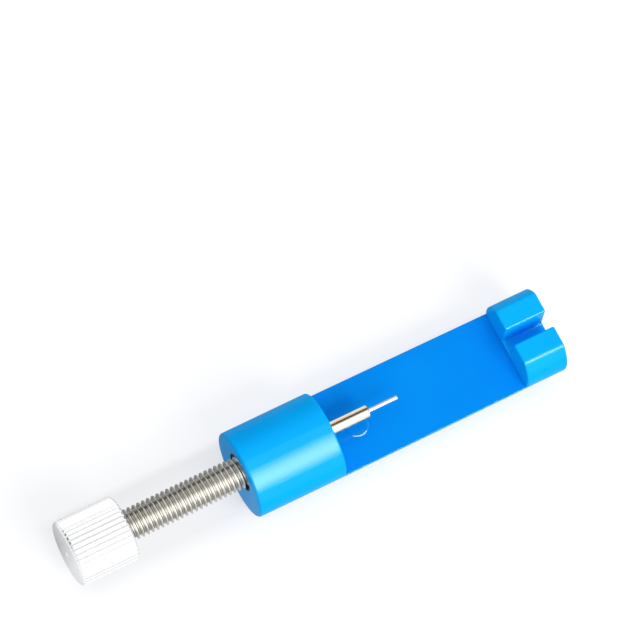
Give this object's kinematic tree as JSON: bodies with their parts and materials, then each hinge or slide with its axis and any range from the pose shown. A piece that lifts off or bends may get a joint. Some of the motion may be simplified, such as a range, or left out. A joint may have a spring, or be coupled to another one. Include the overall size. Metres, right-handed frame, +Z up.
{
  "type": "watch link remover",
  "caption": "Round-bar hand tool: a knurled drive screw in a threaded head feeds a thin push pin along a flat bed toward a slotted fence, to push link pins out of a watch band.",
  "frame": {"origin": "centre of the bounding box at the level of the flat foot under the handle", "axes": "+X along the bar, from the knob to the fence; +Z up, out of the bed floor; +Y to the left of someone looking along +X"},
  "size_m": [0.0808, 0.0138, 0.0134],
  "materials": {
    "blue_gloss_plastic": "smooth glossy moulded plastic",
    "plated_brass": "nickel-plated brass, turned",
    "plated_steel": "nickel-plated steel, rolled thread",
    "knob_aluminium": "bright aluminium, straight-knurled side and turned end faces",
    "holder_steel": "bright plated steel",
    "pin_steel": "hardened steel wire, polished"
  },
  "bodies": {
    "handle_body": {"handle": "blue_gloss_plastic", "thread_insert": "plated_brass"},
    "pin_carrier": {"pin_holder": "holder_steel", "push_pin": "pin_steel"},
    "screw": {"drive_screw": "plated_steel", "knob": "knob_aluminium"}
  },
  "joints": [
    {"name": "pin_feed", "type": "slide", "parent": "handle_body", "child": "pin_carrier", "axis": [1, 0, 0], "range_m": [-0.004, 0.0184]},
    {"name": "screw_turn", "type": "hinge", "parent": "pin_carrier", "child": "screw", "pos_m": [-0.01165, 0, 0.00822], "axis": [1, 0, 0], "range_deg": [-1800, 8280]}
  ],
  "couplings": [
    {"joint": "screw_turn", "follows": "pin_feed", "rad_per_m": 7854}
  ]
}
